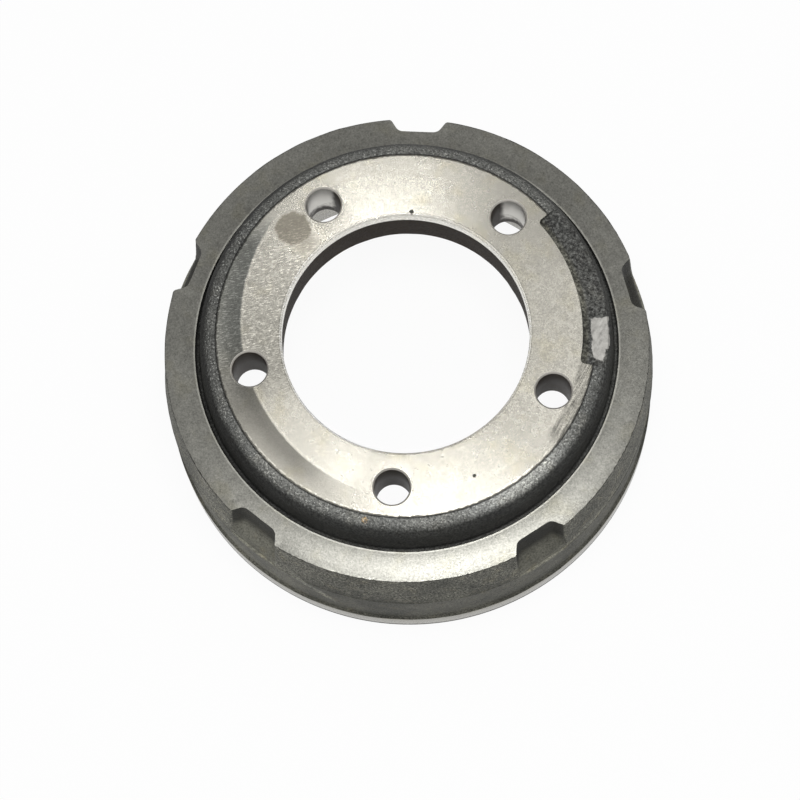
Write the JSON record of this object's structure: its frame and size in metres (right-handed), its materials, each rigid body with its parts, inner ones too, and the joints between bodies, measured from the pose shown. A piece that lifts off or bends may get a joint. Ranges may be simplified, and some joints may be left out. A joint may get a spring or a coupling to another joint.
{
  "type": "brake drum",
  "caption": "Cast-iron truck brake drum with a raised, drilled mounting flange, a stepped ring face with cast notches, and an open rim.",
  "frame": {"origin": "centre of the open rim's face, which the drum rests on", "axes": "+Z along the drum's axis, from the open rim to the mounting face; -Y towards the first bolt hole"},
  "size_m": [0.333, 0.333, 0.136],
  "materials": {
    "cast_iron": "turned where it fits, dark and rough as cast elsewhere"
  },
  "bodies": {
    "root": {"brake_drum": "cast_iron"}
  },
  "joints": []
}
